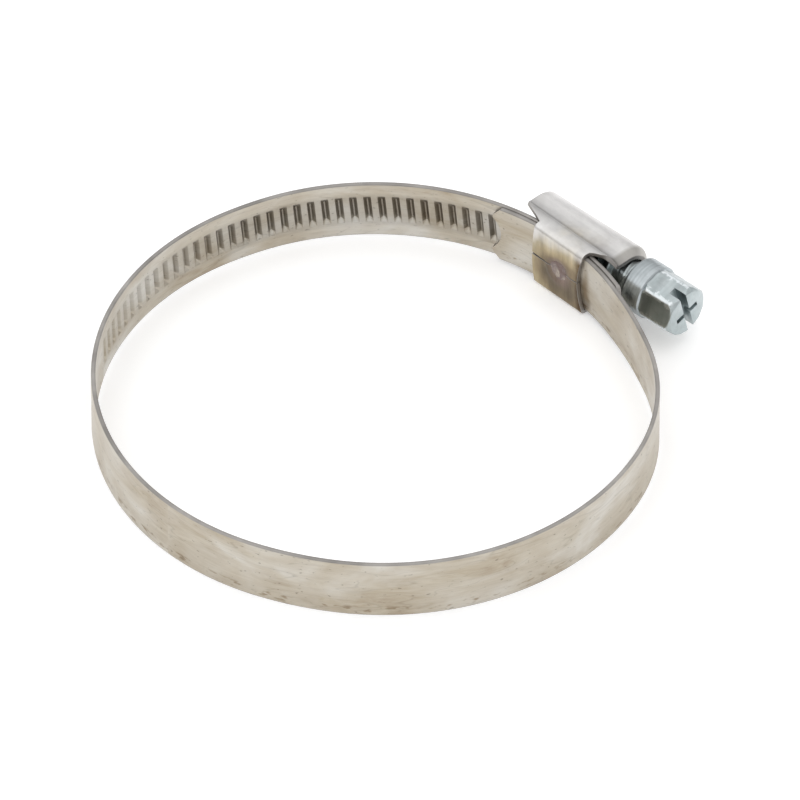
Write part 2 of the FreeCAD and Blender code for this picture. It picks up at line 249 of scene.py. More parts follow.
def band_material():
    """Rolled stainless strip: clouds, lengthwise grain, smears, specks, painted shade in the thread's
    pockets, and a brown stain with painted shade beside the belly's edge.
    """
    material, tree, shader = plain_material("band_steel")
    strip = strip_vector(tree)
    grain = noise(tree, strip, (0.9, 26.0, 1.0), 2.2, 4.0, 0.6)
    fine = noise(tree, strip, (3.0, 60.0, 1.0), 3.0, 2.0, 0.6)
    cloud = noise(tree, strip, (0.55, 1.1, 1.0), 1.3, 4.0, 0.55, 0.6)
    smear = noise(tree, strip, (0.8, 3.2, 1.0), 1.7, 5.0, 0.65, 1.2)
    speck = noise(tree, strip, (2.6, 5.0, 1.0), 4.2, 2.0, 0.5, 0.3)
    clean = ramp(tree, cloud, [(0.22, (0.51, 0.48, 0.42)), (0.5, (0.595, 0.565, 0.505)),
                               (0.78, (0.69, 0.675, 0.64))])
    dirty = ramp(tree, smear, [(0.3, (0.36, 0.29, 0.205)), (0.7, (0.53, 0.475, 0.38))])
    share = ramp(tree, cloud, [(0.36, 0.85), (0.66, 0.12)])
    colour = mixed(tree, share, clean, dirty)
    colour = multiplied(tree, colour, ramp(tree, grain, [(0.3, 0.90), (0.7, 1.0)]))
    dents = ramp(tree, speck, [(0.27, 0.45), (0.34, 1.0)])
    colour = multiplied(tree, colour, dents, 0.7)
    # painted shade in the pressed pockets and a darker rolled zone, with lighter lower-end facets as a
    # painted highlight
    zone, pocket_shade = pocket_shade_marks(tree, strip)
    colour = multiplied(tree, colour, (0.78, 0.775, 0.77), zone)
    colour = multiplied(tree, colour, (0.60, 0.585, 0.565), pocket_shade)
    scuffed = maths(tree, "MULTIPLY", spots_near_edge(tree, strip), 0.75)
    colour = multiplied(tree, colour, (0.50, 0.42, 0.33), scuffed)
    contour = noise(tree, strip, (0.45, 3.4, 1.0), 1.6, 1.0, 0.4, 0.5)
    scratch = ramp(tree, contour, [(0.487, 1.0), (0.495, 0.87), (0.500, 0.87),
                                   (0.508, 1.0)])
    colour = multiplied(tree, colour, scratch)
    place = object_place(tree)
    # brown darkening beside the belly's head edge: partly a real stain, partly painted shade in the crevice
    # where the band runs under the belly
    beside = distance_from(tree, place, (BELLY_X, BELLY_ENDS[0] - 0.2, -0.9), (0.4, 1.9, 0.5))
    crevice_stain_and_shade = ramp(tree, maths(tree, "DIVIDE", beside, 3.0), [(0.2, 0.85), (0.8, 0.0)])
    colour = multiplied(tree, colour, (0.42, 0.34, 0.25), crevice_stain_and_shade)
    rough = maths(tree, "ADD", mapped(tree, smear, 0.30, 0.46), mapped(tree, fine, -0.04, 0.04))
    set_metal(tree, shader, colour, rough)
    height = maths(tree, "ADD", maths(tree, "MULTIPLY", grain, 0.5), maths(tree, "MULTIPLY", dents, 0.6))
    set_bump(tree, shader, height, 0.35, 0.03)
    return material


def edge_material():
    """Sheared edges of strip and sheet."""
    material, tree, shader = plain_material("cut_edge")
    place = object_place(tree)
    pits = noise(tree, place, (900, 900, 500), 1.0, 4.0, 0.6)
    patches = noise(tree, place, (160, 160, 160), 1.0, 3.0, 0.6)
    colour = ramp(tree, patches, [(0.35, (0.285, 0.27, 0.255)), (0.7, (0.44, 0.42, 0.40))])
    set_metal(tree, shader, colour, mapped(tree, pits, 0.38, 0.62))
    set_bump(tree, shader, pits, 0.5, 0.03)
    return material


def distance_from(tree, place, centre, stretch):
    """Distance of place from a centre, in stretched millimetres, with a wandering outline."""
    wander = node(tree, "TexNoise", {"Vector": place, "Scale": 330.0, "Detail": 4.0}).outputs["Color"]
    reach = 2.6
    middle = [(c + w) * MM for c, w in zip(centre, (0.0, reach / 2, reach / 2))]
    vector = maths(tree, "MULTIPLY_ADD", wander, (0.0, reach * MM, reach * MM), place, kind="VectorMath")
    vector = maths(tree, "SUBTRACT", vector, middle, kind="VectorMath")
    vector = maths(tree, "MULTIPLY", vector, [s / MM for s in stretch], kind="VectorMath")
    return maths(tree, "LENGTH", vector, kind="VectorMath")


def housing_material():
    """Pressed stainless sheet, with painted shade in the valley, darker on the lip, and heat tint round the
    weld that darkens to scorch with painted shade towards the belly's head edge.
    """
    material, tree, shader = plain_material("housing_steel")
    place = object_place(tree)
    cloud = noise(tree, place, (120, 90, 120), 1.0, 4.0, 0.6, 0.4)
    lines = noise(tree, place, (1500, 70, 1500), 1.0, 3.0, 0.6)
    marks = noise(tree, place, (420, 260, 420), 1.0, 5.0, 0.7, 0.5)
    steel = ramp(tree, cloud, [(0.3, (0.72, 0.705, 0.69)), (0.7, (0.93, 0.92, 0.91))])
    steel = multiplied(tree, steel, ramp(tree, lines, [(0.3, 0.93), (0.7, 1.0)]))
    steel = multiplied(tree, steel, ramp(tree, marks, [(0.3, 0.88), (0.55, 1.0)]))
    x, y, _ = axes(tree, place)
    # painted shade in the valley between shoulder and dome, darkest on the valley's line and fading out
    # over 3 mm each side
    past_valley = maths(tree, "MULTIPLY_ADD", x, 1 / MM, -VALLEY_X)
    from_valley = maths(tree, "DIVIDE", maths(tree, "ABSOLUTE", past_valley), 3.0)
    valley = ramp(tree, from_valley, [(0.0, 0.54), (0.2, 0.63), (0.55, 0.82),
                                      (1.0, 1.0)])
    steel = multiplied(tree, steel, valley)
    along = maths(tree, "MULTIPLY_ADD", y, 0.1 / MM, 1.0)
    folded = ramp(tree, along, [(0.33, (0.60, 0.59, 0.565)), (0.38, 1.0)])
    steel = multiplied(tree, steel, folded)
    from_heat = distance_from(tree, place, (BELLY_X - SHEET, -0.6, -1.6), (0.5, 0.55, 0.68))
    far = maths(tree, "DIVIDE", from_heat, 6.0)
    streaks = noise(tree, place, (900, 900, 160), 1.0, 3.0, 0.6)
    tint = ramp(tree, far, [(0.0, (0.15, 0.12, 0.085)), (0.22, (0.18, 0.145, 0.10)),
                            (0.38, (0.255, 0.20, 0.13)), (0.52, (0.41, 0.34, 0.22)),
                            (0.66, (0.52, 0.465, 0.36)), (0.9, (0.62, 0.61, 0.59))])
    near = distance_from(tree, place, (BELLY_X - SHEET, -0.45, -0.2), (0.5, 1.0, 1.0))
    violet = ramp(tree, maths(tree, "DIVIDE", near, 3.0), [(0.35, 0.9), (0.85, 0.0)])
    tint = mixed(tree, violet, tint, (0.235, 0.175, 0.155))
    tint = multiplied(tree, tint, ramp(tree, streaks, [(0.3, 0.72), (0.7, 1.2)]))
    # towards the belly's head edge the tint darkens to brown: partly scorch, partly painted shade where the
    # belly's edge meets the band
    scorch_and_shade = ramp(tree, maths(tree, "MULTIPLY_ADD", marks, 0.12, along),
                  [(0.675, (0.34, 0.26, 0.18)), (0.76, 1.0)])
    tint = multiplied(tree, tint, scorch_and_shade)
    share = ramp(tree, far, [(0.0, 1.0), (0.6, 1.0), (0.85, 0.0)])
    colour = mixed(tree, share, steel, tint)
    set_metal(tree, shader, colour, mapped(tree, marks, 0.30, 0.50))
    height = maths(tree, "ADD", maths(tree, "MULTIPLY", lines, 0.4), marks)
    set_bump(tree, shader, height, 0.30, 0.04)
    return material


def weld_material():
    """Oxidised weld: brown and violet, with paler crusts."""
    material, tree, shader = plain_material("weld_nugget")
    place = object_place(tree)
    cloud = noise(tree, place, (700, 700, 700), 1.0, 4.0, 0.6, 0.8)
    colour = ramp(tree, cloud, [(0.34, (0.13, 0.095, 0.075)), (0.46, (0.21, 0.155, 0.14)),
                                (0.56, (0.24, 0.195, 0.19)), (0.68, (0.46, 0.40, 0.34))])
    set_metal(tree, shader, colour, mapped(tree, cloud, 0.38, 0.6))
    set_bump(tree, shader, cloud, 1.0, 0.12)
    return material


def off_axis(tree, turned):
    """Distance from the screw's axis, in millimetres, of a vector already turned to that axis."""
    axis = SCREW_OUT + THREAD_CENTRE[0] * math.cos(SCREW_TILT)
    x, _, z = axes(tree, turned)
    aside = maths(tree, "MULTIPLY_ADD", x, 1 / MM, -axis)
    height = maths(tree, "MULTIPLY", z, 1 / MM)
    squared = maths(tree, "MULTIPLY", aside, aside)
    return maths(tree, "SQRT", maths(tree, "MULTIPLY_ADD", height, height, squared))


def zinc_material(name, lines_scale, low, high, worn_colour=None):
    """Zinc plate with turning lines round the screw's axis; worn_colour chips the outermost corners."""
    material, tree, shader = plain_material(name)
    place = object_place(tree)
    turned = node(tree, "Mapping", {"Vector": place, "Rotation": (0.0, 0.0, SCREW_TILT)},
                  vector_type="TEXTURE").outputs["Vector"]
    lines = noise(tree, turned, (60, lines_scale, 60), 1.0, 3.0, 0.65)
    cloud = noise(tree, place, (260, 260, 260), 1.0, 4.0, 0.6, 0.5)
    marks = noise(tree, place, (900, 500, 900), 1.0, 5.0, 0.7)
    colour = ramp(tree, cloud, [(0.3, low), (0.7, high)])
    colour = multiplied(tree, colour, ramp(tree, lines, [(0.35, 0.74), (0.6, 1.0)]))
    colour = multiplied(tree, colour, ramp(tree, marks, [(0.3, 0.75), (0.5, 1.0)]), 0.6)
    if worn_colour:
        chips = noise(tree, place, (1500, 1100, 1500), 1.0, 3.0, 0.7)
        reach = maths(tree, "MULTIPLY_ADD", chips, 0.8, off_axis(tree, turned))
        worn = ramp(tree, maths(tree, "SUBTRACT", reach, 3.4), [(0.61, 0.0), (0.71, 0.75)])
        colour = mixed(tree, worn, colour, worn_colour)
    set_metal(tree, shader, colour, mapped(tree, marks, 0.20, 0.44))
    height = maths(tree, "ADD", lines, maths(tree, "MULTIPLY", marks, 0.9))
    set_bump(tree, shader, height, 0.55, 0.035)
    return material


def floor_material():
    """White floor that fades into the background."""
    material, tree, shader = plain_material("studio_floor")
    fill(tree, shader, {"Base Color": (0.93, 0.93, 0.93, 1.0), "Roughness": 0.9, "Specular IOR Level": 0.0,
                        "Emission Color": (1.0, 1.0, 1.0, 1.0), "Emission Strength": 0.26})
    return material


# ---- Meshes ----

def face_outward(mesh):
    """Turns every face of a closed mesh to look outward."""
    work = bmesh.new()
    work.from_mesh(mesh)
    bmesh.ops.recalc_face_normals(work, faces=work.faces)
    work.to_mesh(mesh)
    work.free()


def linked(name, data):
    """New object, in the scene."""
    made = bpy.data.objects.new(name, data)
    bpy.context.scene.collection.objects.link(made)
    return made


def mesh_object(name, vertices, faces, materials, face_slots=None, uv=None, angle=38.0):
    """Object from millimetre vertices; uv is one pair per vertex."""
    mesh = bpy.data.meshes.new(name)
    mesh.from_pydata((np.asarray(vertices, float) * MM).tolist(), [], faces)
    for material in materials:
        mesh.materials.append(material)
    if face_slots is not None:
        mesh.polygons.foreach_set("material_index", face_slots)
    if uv is not None:
        layer = mesh.uv_layers.new(name="strip")
        corners = np.zeros(len(mesh.loops), np.int32)
        mesh.loops.foreach_get("vertex_index", corners)
        layer.data.foreach_set("uv", np.asarray(uv, np.float32)[corners].ravel())
    face_outward(mesh)
    mesh.shade_smooth()
    mesh.set_sharp_from_angle(angle=math.radians(angle))
    mesh.update()
    return linked(name, mesh)


def applied(thing, angle=38.0):
    """Bakes an object's modifiers into its mesh."""
    graph = bpy.context.evaluated_depsgraph_get()
    mesh = bpy.data.meshes.new_from_object(thing.evaluated_get(graph))
    thing.modifiers.clear()
    thing.data = mesh
    mesh.shade_smooth()
    mesh.set_sharp_from_angle(angle=math.radians(angle))


def bevel(thing, width, segments, angle):
    """Rounds an object's edges that are sharper than an angle."""
    made = thing.modifiers.new("rounding", "BEVEL")
    made.width = width * MM
    made.segments = segments
    made.limit_method = "ANGLE"
    made.angle_limit = math.radians(angle)
    made.harden_normals = False


def grid_faces(columns, rows, closed):
    """Quads between columns of rows vertices each; closed joins the last row to the first."""
    faces = []
    last = rows if closed else rows - 1
    for column in range(columns - 1):
        for row in range(last):
            after = (row + 1) % rows
            faces.append((column * rows + row, (column + 1) * rows + row,
                          (column + 1) * rows + after, column * rows + after))
    return faces


# ---- The band's plan ----

def plan(angle):
    """Unit vector at an angle in degrees, seen from above."""
    return np.array([math.cos(math.radians(angle)), math.sin(math.radians(angle))])


def plan_angle(vector):
    """Angle of a vector in degrees, seen from above."""
    return math.degrees(math.atan2(vector[1], vector[0]))


def circles_meet(first, first_radius, second, second_radius):
    """The meeting point of two circles to the right of the line between their centres."""
    line = second - first
    span = np.linalg.norm(line)
    along = (first_radius ** 2 - second_radius ** 2 + span ** 2) / (2 * span)
    aside = math.sqrt(first_radius ** 2 - along ** 2)
    ahead = line / span
    return first + ahead * along + np.array([ahead[1], -ahead[0]]) * aside


def side_path():
    """Arcs (centre, radius, start, end) from the tongue's tip round the screw-head side."""
    leaving = THREAD_CENTRE - plan(LEAVING_START) * (LEAVING_RADIUS - FIXED_RADIUS)
    shallow = SEAT_CENTRE - plan(SEAT_END) * (SHALLOW_RADIUS - SEAT_RADIUS)
    side = shallow + plan(SHALLOW_END) * (SHALLOW_RADIUS - SIDE_RADIUS)
    back = circles_meet(leaving, LEAVING_RADIUS - RETURN_RADIUS, side, SIDE_RADIUS - RETURN_RADIUS)
    leaving_end = plan_angle(back - leaving)
    return_end = plan_angle(back - side)
    return [(THREAD_CENTRE, FIXED_RADIUS, -FLAT_ANGLE, LEAVING_START),
            (leaving, LEAVING_RADIUS, LEAVING_START, leaving_end),
            (back, RETURN_RADIUS, leaving_end, return_end),
            (side, SIDE_RADIUS, return_end, SHALLOW_END),
            (shallow, SHALLOW_RADIUS, SHALLOW_END, SEAT_END),
            (SEAT_CENTRE, SEAT_RADIUS, SEAT_END, -180.0)]


def free_path():
    """Arcs from the tail's tip round the threaded side."""
    blend = circles_meet(SEAT_CENTRE, BLEND_RADIUS - SEAT_RADIUS,
                         THREAD_CENTRE, BLEND_RADIUS - THREADED_RADIUS)
    blend_start = plan_angle(THREAD_CENTRE - blend)
    blend_end = plan_angle(SEAT_CENTRE - blend)
    return [(THREAD_CENTRE, THREADED_RADIUS, TAIL_TIP, blend_start),
            (blend, BLEND_RADIUS, blend_start, blend_end),
            (SEAT_CENTRE, SEAT_RADIUS, blend_end, 180.0)]


def path_length(path, offset):
    """Length of a path of arcs, measured at an offset from it."""
    return sum((radius + offset) * math.radians(abs(end - start)) for _, radius, start, end in path)


def path_points(path, offset, distance):
    """Inner-face points and outward directions at distances measured at an offset."""
    distance = np.asarray(distance, float)
    points = np.zeros(distance.shape + (2,))
    outward = np.zeros(distance.shape + (2,))
    passed = 0.0
    for number, (centre, radius, start, end) in enumerate(path):
        length = (radius + offset) * math.radians(abs(end - start))
        inside = distance >= passed if number else np.ones(distance.shape, bool)
        angle = np.radians(start + (end - start) * (distance - passed) / length)
        direction = np.stack([np.cos(angle), np.sin(angle)], -1)
        points[inside] = (centre + direction * radius)[inside]
        outward[inside] = direction[inside]
        passed += length
    return points, outward


def flat_points(distance):
    """The fixed end before its first arc: flat through the housing, then the curved tongue."""
    flat_half = FIXED_RADIUS * math.sin(math.radians(FLAT_ANGLE))
    x = FIXED_RADIUS * math.cos(math.radians(FLAT_ANGLE))
    beyond = -distance - 2 * flat_half
    angle = np.radians(FLAT_ANGLE) + np.maximum(beyond, 0) / FIXED_RADIUS
    curved = beyond > 0
    y = np.where(curved, FIXED_RADIUS * np.sin(angle), -flat_half - distance)
    px = np.where(curved, FIXED_RADIUS * np.cos(angle), x)
    points = np.stack([px + THREAD_CENTRE[0], y], -1)
    outward = np.stack([np.where(curved, np.cos(angle), 1.0), np.where(curved, np.sin(angle), 0.0)], -1)
    return points, outward


# ---- The band's section ----

CORNER = 0.2


def face_rows(half):
    """Heights of the vertices across one face of the band."""
    edge = half - CORNER
    marks = [0.0, 0.5, 1.0, 1.35, 1.55, 1.72, 1.9, 2.05, 2.18, 2.3, 2.45, 2.75, 3.2, 3.7, 4.1, edge]
    return [-z for z in reversed(marks[1:])] + marks


def section_ring():
    """(face, z, r) round the section: face 0 inner, 1 outer, 2 edge; r from the inner face."""
    half = WIDTH / 2
    ring = [(0, z, 0.0) for z in face_rows(half)]
    arc = [(half - CORNER + CORNER * math.sin(a), CORNER - CORNER * math.cos(a))
           for a in (math.radians(30), math.radians(60), math.radians(90))]
    edge = arc + [(z, THICKNESS - r) for z, r in reversed(arc)]
    ring += [(2, z, r) for z, r in edge]
    ring += [(1, z, THICKNESS) for z in reversed(face_rows(half))]
    return ring + [(2, -z, r) for z, r in reversed(edge)]


RING = section_ring()
RING_FACE = np.array([entry[0] for entry in RING])
RING_Z = np.array([entry[1] for entry in RING])
RING_R = np.array([entry[2] for entry in RING])


def section_caps():
    """Faces that close the section: strips from the inner face to the outer, and the two rounded edges."""
    rows = int(np.count_nonzero(RING_FACE == 0))
    arc = (len(RING) - 2 * rows) // 2
    outer = [rows + arc + rows - 1 - k for k in range(rows)]
    caps = [(k, k + 1, outer[k + 1], outer[k]) for k in range(rows - 1)]
    caps.append(tuple(range(rows - 1, rows + arc + 1)))
    caps.append(tuple(range(outer[0], len(RING))) + (0,))
    return caps


def hipped(across, along, half_width, top_half_width, half_length, height):
    """Height of a block with sloping sides and ends."""
    side = (half_width - np.abs(across)) / (half_width - top_half_width)
    end = (half_length - np.abs(along)) / HIP
    return height * np.clip(np.minimum(side, end), 0.0, 1.0)


def pressed(distance, z, face):
    """How far the pressed thread moves a point outward."""
    number = np.floor(distance / LEAD)
    across = distance - (number + 0.5) * LEAD
    pressed_here = (number >= 0) & (number < THREADED_PITCHES)
    pocket = hipped(across, z, POCKET_HALF_WIDTH, POCKET_FLOOR_HALF_WIDTH, POCKET_HALF_LENGTH, POCKET_DEPTH)
    ridge = hipped(across, z, RIDGE_HALF_WIDTH, RIDGE_TOP_HALF_WIDTH, RIDGE_HALF_LENGTH, RIDGE_HEIGHT)
    move = np.where(face == 0, pocket, np.where(face == 1, ridge, 0.0))
    return np.where(pressed_here, move, 0.0)


def slanted(z):
    """Share of the thread's slant at a height: whole at the thread, none at the edges."""
    fade = np.clip((4.3 - np.abs(z)) / 1.5, 0.0, 1.0)
    return z * HELIX_SLANT * fade * fade * (3 - 2 * fade)


def band_strip(name, place, columns, threaded, material, tail=False, tongue=None):
    """Closed length of band; place gives points and outward directions at distances."""
    columns = np.asarray(columns, float)
    distance = np.repeat(columns[:, None], len(RING), 1)
    z = np.repeat(RING_Z[None, :], len(columns), 0)
    r = np.repeat(RING_R[None, :], len(columns), 0)
    face = np.repeat(RING_FACE[None, :], len(columns), 0)
    along = distance
    if threaded:
        r = r + pressed(distance, z, face)
        past = distance - THREADED_PITCHES * LEAD
        runout = np.clip(1.0 - past / SLANT_RUNOUT, 0.0, 1.0)
        distance = distance + slanted(z) * np.clip(distance / 0.8, 0.0, 1.0) * runout
    if tail:
        inset = np.clip(TAIL_CORNER - columns, 0.0, TAIL_CORNER)
        half = WIDTH / 2 - TAIL_CORNER + np.sqrt(TAIL_CORNER ** 2 - inset ** 2)
        z = np.clip(z, -half[:, None], half[:, None])
    if tongue is not None:
        near = np.clip(1.0 - (distance - tongue) / TONGUE_SHAPED_OVER, 0.0, 1.0)
        notch = NOTCH_DEPTH * np.clip(1.0 - (z / NOTCH_HALF_WIDTH) ** 2, 0.0, 1.0)
        horn = HORN_DEPTH * np.clip((np.abs(z) - NOTCH_HALF_WIDTH) / HORN_WIDTH, 0.0, 1.0)
        distance = distance + (notch + horn) * near * near
    points, outward = place(distance)
    flat = points + outward * r[..., None]
    vertices = np.concatenate([flat, z[..., None]], -1).reshape(-1, 3)
    faces = grid_faces(len(columns), len(RING), True)
    for base, turn in ((0, -1), ((len(columns) - 1) * len(RING), 1)):
        faces += [tuple(base + k for k in cap[::turn]) for cap in section_caps()]
    on_edge = (RING_FACE == 2) | (np.roll(RING_FACE, -1) == 2)
    slots = on_edge.astype(int).tolist() * (len(columns) - 1)
    slots += [1] * (len(faces) - len(slots))
    plain = (face != 0) | (along > THREADED_PITCHES * LEAD) | (not threaded)
    uv = np.stack([along.ravel() / 10, z.ravel() / 10 + plain.ravel() * NOT_POCKETED], -1)
    return mesh_object(name, vertices, faces, material, slots, uv)


def plain_columns(begin, end, step=0.35):
    """Even columns between two distances."""
    return np.linspace(begin, end, max(2, int(math.ceil((end - begin) / step)) + 1))


def threaded_columns(begin, end):
    """Columns that follow the pressed thread, with plain ones after its end."""
    offsets = [-0.96, -0.75, -0.6, -0.53, -0.5, -0.4, -0.3, -0.2, -0.13, -0.1, 0.0]
    offsets += [-o for o in reversed(offsets[1:-1])]
    marks = [(number + 0.5) * LEAD + o for number in range(THREADED_PITCHES) for o in offsets]
    finish = THREADED_PITCHES * LEAD
    marks += list(np.arange(finish, end, 0.35))
    inner = [m for m in marks if begin + 0.03 < m < end - 0.03]
    return [begin] + inner + [end]


# ---- Band pieces ----

def build_band(material):
    """Every visible length of band, from the middle of one link to the middle of the next."""
    side = side_path()
    free = free_path()
    flat = 2 * FIXED_RADIUS * math.sin(math.radians(FLAT_ANGLE))
    tongue_tip = -flat - FIXED_RADIUS * math.radians(TONGUE_TIP - FLAT_ANGLE)

    def on_side(distance):
        points, outward = path_points(side, 0.0, np.maximum(distance, 0.0))
        before = distance < 0
        fixed_points, fixed_outward = flat_points(distance)
        return (np.where(before[..., None], fixed_points, points),
                np.where(before[..., None], fixed_outward, outward))

    def on_free(distance):
        return path_points(free, PITCH_OFFSET, distance)

    def spot(place, distance):
        point = place(np.array([float(distance)]))[0][0]
        return Vector((point[0] * MM, point[1] * MM, 0.0))

    # the fixed end rides with the housing
    fixed = band_strip("band_fixed_end_skin", on_side,
                       np.concatenate([plain_columns(tongue_tip, -flat, 0.3),
                                       plain_columns(-flat + 0.3, FIRST_SIDE_HINGE, 0.4)]),
                       False, material, tongue=tongue_tip)
    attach(fixed, "housing")
    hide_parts("band_fixed_end")

    # the screw-head side
    whole = path_length(side, 0.0)
    step = (whole - FIRST_SIDE_HINGE) / SIDE_LENGTHS
    hinges = [FIRST_SIDE_HINGE + number * step for number in range(SIDE_LENGTHS)]
    middles = [hinge + step / 2 for hinge in hinges]
    bodies = ["housing"] + ["head_side_%d" % number for number in range(1, SIDE_LENGTHS + 1)]
    for number, hinge in enumerate(hinges):
        begin = hinge if number == 0 else middles[number - 1]
        piece = band_strip("band_head_side_%d_skin" % (number + 1), on_side,
                           plain_columns(begin, middles[number]), False, material)
        spot(on_side, begin)
        spot(on_side, middles[number])
        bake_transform(piece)
        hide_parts("band_head_side_%d" % (number + 1))
    last = band_strip("band_head_side_end_skin", on_side, plain_columns(middles[-1], whole),
                      False, material)
    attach(last, bodies[-1])

    # the threaded end and the lengths that follow it
    whole = path_length(free, PITCH_OFFSET)
    hinges = [LEAD * (THREADED_END_PITCHES + number * PITCHES_PER_LENGTH)
              for number in range(FREE_LENGTHS)]
    ends = hinges[1:] + [whole]
    middles = [(hinge + end) / 2 for hinge, end in zip(hinges, ends)]
    bodies = ["threaded_end"] + ["tip_side_%d" % number for number in range(1, FREE_LENGTHS + 1)]
    first_bend = hinges[0] - LEAD * PITCHES_PER_LENGTH / 2
    tail_columns = [0.0, 0.03, 0.1, 0.2, 0.32, 0.43]
    columns = tail_columns + [c for c in threaded_columns(0.0, first_bend) if c > tail_columns[-1] + 0.02]
    threaded = band_strip("band_threaded_end_skin", on_free, columns, True, material, tail=True)
    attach(threaded, "threaded_end")
    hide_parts("band_threaded_end")
    for number in range(FREE_LENGTHS):
        begin = first_bend if number == 0 else middles[number - 1]
        pressed_columns = threaded_columns(begin, middles[number])
        piece = band_strip("band_tip_side_%d_skin" % (number + 1), on_free, pressed_columns, True, material)
        spot(on_free, begin)
        spot(on_free, middles[number])
        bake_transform(piece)
        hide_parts("band_tip_side_%d" % (number + 1))
    last = band_strip("band_tip_side_end_skin", on_free, threaded_columns(middles[-1], whole),
                      True, material)
    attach(last, bodies[-1])


# ---- Housing ----

def axis_x(y):
    """Place of the screw's axis at y."""
    return THREAD_CENTRE[0] + (SCREW_OUT - y * math.sin(SCREW_TILT)) / math.cos(SCREW_TILT)


def rounded_outline(corners, radii, segments):
    """(point, normal) along a line through corners; the normal is to the left of travel."""
    points = []
    start = corners[0]
    for before, corner, after, radius in zip(corners, corners[1:], corners[2:], radii):
        arrive = (corner - before) / np.linalg.norm(corner - before)
        leave = (after - corner) / np.linalg.norm(after - corner)
        turn = math.atan2(arrive[0] * leave[1] - arrive[1] * leave[0], float(arrive @ leave))
        run = radius * math.tan(abs(turn) / 2)
        left = np.array([-arrive[1], arrive[0]])
        first = corner - arrive * run
        count = max(1, int(round(np.linalg.norm(first - start) / 0.35)))
        points += [(start + (first - start) * k / count, left) for k in range(count)]
        centre = first + left * math.copysign(radius, turn)
        for k in range(segments + 1):
            angle = turn * k / segments
            c, s = math.cos(angle), math.sin(angle)
            spoke = first - centre
            normal = np.array([c * left[0] - s * left[1], s * left[0] + c * left[1]])
            turned = np.array([c * spoke[0] - s * spoke[1], s * spoke[0] + c * spoke[1]])
            points.append((centre + turned, normal))
        start = points.pop()[0]
        points.append((start, normal))
        start = start + leave * 0.3
    count = max(1, int(round(np.linalg.norm(corners[-1] - start) / 0.35)))
    left = np.array([-leave[1], leave[0]])
    points += [(start + (corners[-1] - start) * k / count, left) for k in range(count + 1)]
    return points


def housing_profile():
    """Upper half of the inside outline: x, z and outward normal."""
    side = WIDTH / 2 + SIDE_GAP
    spring = axis_x(0.0)
    corners = [np.array(c) for c in ((BELLY_X, 0.05), (BELLY_X, side), (SHOULDER_X, side),
                                     (VALLEY_X, DOME_RADIUS), (spring, DOME_RADIUS))]
    line = rounded_outline(corners, [0.16, 0.4, 1.55], 9)
    rows = [(p[0], p[1], n[0], n[1]) for p, n in line]
    for k in range(1, 13):
        angle = math.radians(90 - k * 7.5)
        rows.append((spring + DOME_RADIUS * math.cos(angle), DOME_RADIUS * math.sin(angle),
                     math.cos(angle), math.sin(angle)))
    return np.array(rows)


def housing_ends(x, z):
    """Where the sheet ends along y, for an inside point at x and z; the belly's edges bow to the tip."""
    share = np.clip((x - 36.35) / 1.9, 0.0, 1.0)
    bow = max(1.0 - (z / 4.4) ** 2, 0.0) * (1.0 - share)
    share = share - 0.08 * np.sin(2 * math.pi * share)
    head = BELLY_ENDS[0] + (DOME_ENDS[0] - BELLY_ENDS[0]) * share
    tip_share = np.interp(x, (36.1, 37.4, 38.3), (0.0, 0.775, 1.0))
    tip = BELLY_ENDS[1] + (DOME_ENDS[1] + 0.2 - BELLY_ENDS[1]) * tip_share
    return head + 0.85 * bow, tip + 0.35 * bow - 0.25 * (1.0 - share)


def housing_point(row, y, out):
    """Points of the sheet for a profile row at y values; out moves them along the normal."""
    x0, z0, nx, nz = row
    spring0 = axis_x(0.0)
    drop = np.clip((KNEE + 0.3 - y), 0.0, 0.6) ** 2 / 1.2 + np.clip(KNEE - 0.3 - y, 0.0, None)
    lip = drop / (KNEE - DOME_ENDS[0])
    on_dome = np.clip((x0 - 37.9) / (spring0 - 37.9), 0.0, 1.0)
    shift = (axis_x(y) - spring0 - LIP_DROP * lip) * on_dome
    in_lip = np.clip((x0 - LIP_FROM_X) / (VALLEY_X - LIP_FROM_X), 0.0, 1.0)
    shrink = (DOME_RADIUS - LIP_RADIUS) * lip * in_lip
    x = x0 + shift + nx * (out - shrink * (on_dome >= 1.0))
    z = z0 + nz * (out - shrink)
    return np.stack([x, y, z], -1)


def belly_marks(points):
    """Soft sag round the weld and hammered unevenness of the belly, on the hose side."""
    y, z = points[..., 1], points[..., 2]
    away = np.sqrt((y + 0.1) ** 2 + (z * 1.0) ** 2)
    dish = 0.16 * np.exp(-(away / 1.6) ** 4) - 0.09 * np.exp(-((away - 2.05) / 0.38) ** 2)
    uneven = 0.035 * np.sin(1.3 * y + 0.7) * np.sin(0.9 * z + 0.4)
    return dish + uneven


